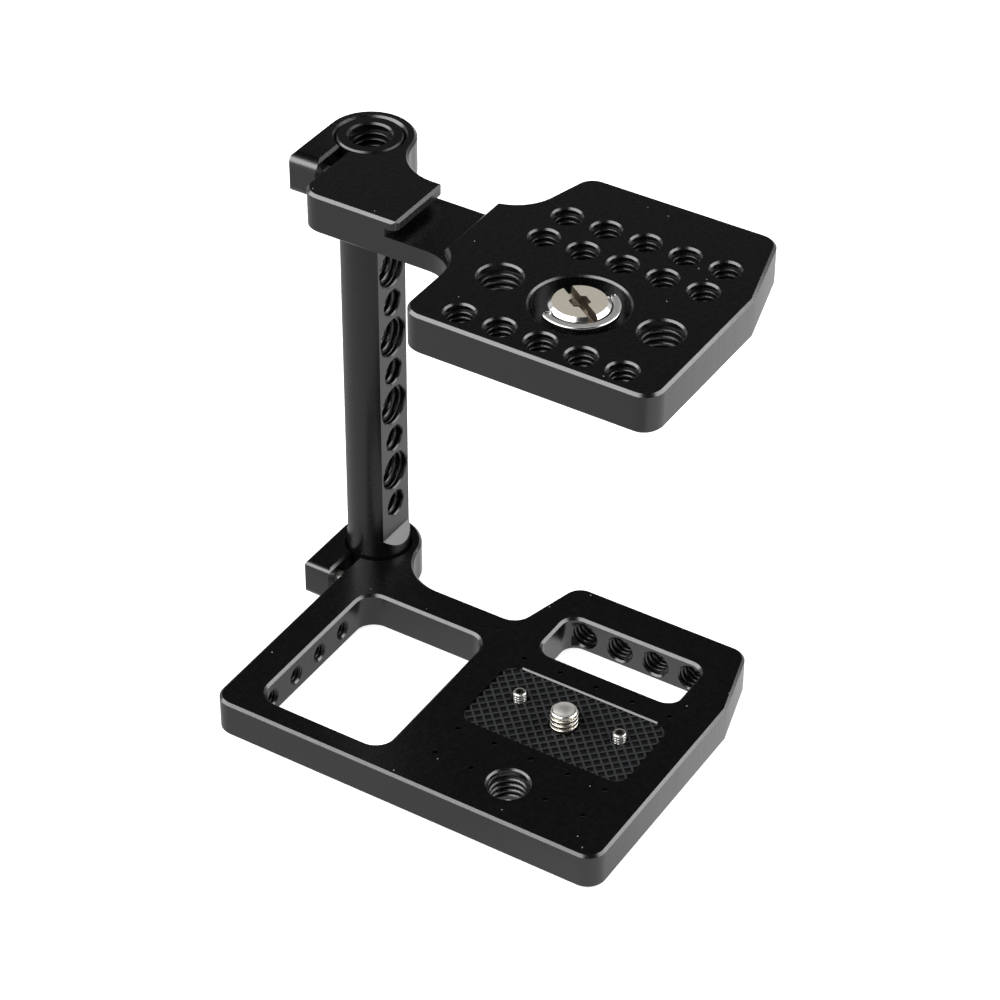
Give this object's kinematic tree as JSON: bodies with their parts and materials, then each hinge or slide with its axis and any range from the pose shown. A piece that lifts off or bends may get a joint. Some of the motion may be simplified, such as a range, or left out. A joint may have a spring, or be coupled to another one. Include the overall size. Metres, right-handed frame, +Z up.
{
  "type": "camera half cage",
  "caption": "Camera half cage: a base plate and an upper plate clamped to a round rod, with captive screws, a rubber grip pad and grids of threaded holes.",
  "frame": {"origin": "on the rod's axis, at the rod's foot, level with the underside of the base plate", "axes": "+Z up along the rod, +X along the plates away from the rod, +Y towards the side on which the rod stands"},
  "size_m": [0.1122, 0.0787, 0.123],
  "materials": {
    "black_anodised_plate": "satin black anodised, milled",
    "black_anodised_rod": "satin black anodised, turned",
    "grip_rubber": "matt, moulded waffle pattern",
    "camera_screw_steel": "turned stainless steel",
    "ring_steel": "polished stainless steel",
    "small_screw_steel": "plain stainless steel"
  },
  "bodies": {
    "base": {"base_plate": "black_anodised_plate", "grip_pad": "grip_rubber"},
    "register_left": {"register_screw_left": "small_screw_steel"},
    "register_right": {"register_screw_right": "small_screw_steel"},
    "base_screw": {"base_camera_screw": "camera_screw_steel"},
    "base_ring": {"base_screw_ring": "ring_steel"},
    "base_clamp": {"base_clamp_screw": "small_screw_steel"},
    "rod": {"rod": "black_anodised_rod"},
    "upper": {"upper_plate": "black_anodised_plate"},
    "upper_screw": {"upper_camera_screw": "camera_screw_steel"},
    "upper_ring": {"upper_screw_ring": "ring_steel"},
    "upper_clamp": {"upper_clamp_screw": "small_screw_steel"}
  },
  "joints": [
    {"name": "rod_turn", "type": "hinge", "parent": "base", "child": "rod", "pos_m": [0, 0, 0], "axis": [0, 0, 1], "continuous": true},
    {"name": "upper_slide", "type": "slide", "parent": "rod", "child": "upper", "axis": [0, 0, 1], "range_m": [-0.085, 0]},
    {"name": "base_screw_turn", "type": "hinge", "parent": "base", "child": "base_screw", "pos_m": [0.0714, -0.0331, 0], "axis": [0, 0, 1], "continuous": true},
    {"name": "base_ring_fold", "type": "hinge", "parent": "base_screw", "child": "base_ring", "pos_m": [0.0714, -0.0331, 0.0017], "axis": [0.5592, 0.829, 0], "range_deg": [0, 180]},
    {"name": "upper_screw_turn", "type": "hinge", "parent": "upper", "child": "upper_screw", "pos_m": [0.0723, -0.0323, 0.1223], "axis": [0, 0, 1], "continuous": true},
    {"name": "upper_ring_fold", "type": "hinge", "parent": "upper_screw", "child": "upper_ring", "pos_m": [0.0723, -0.0323, 0.1216], "axis": [-0.5592, -0.829, 0], "range_deg": [0, 180]},
    {"name": "base_clamp_turn", "type": "hinge", "parent": "base", "child": "base_clamp", "pos_m": [-0.0108, -0.0123, 0.00475], "axis": [1, 0, 0], "range_deg": [-720, 0]},
    {"name": "upper_clamp_turn", "type": "hinge", "parent": "upper", "child": "upper_clamp", "pos_m": [-0.0108, -0.0123, 0.11755], "axis": [1, 0, 0], "range_deg": [-720, 0]},
    {"name": "register_left_height", "type": "slide", "parent": "base", "child": "register_left", "axis": [0, 0, 1], "range_m": [-0.0022, 0]},
    {"name": "register_right_height", "type": "slide", "parent": "base", "child": "register_right", "axis": [0, 0, 1], "range_m": [-0.0022, 0]}
  ]
}
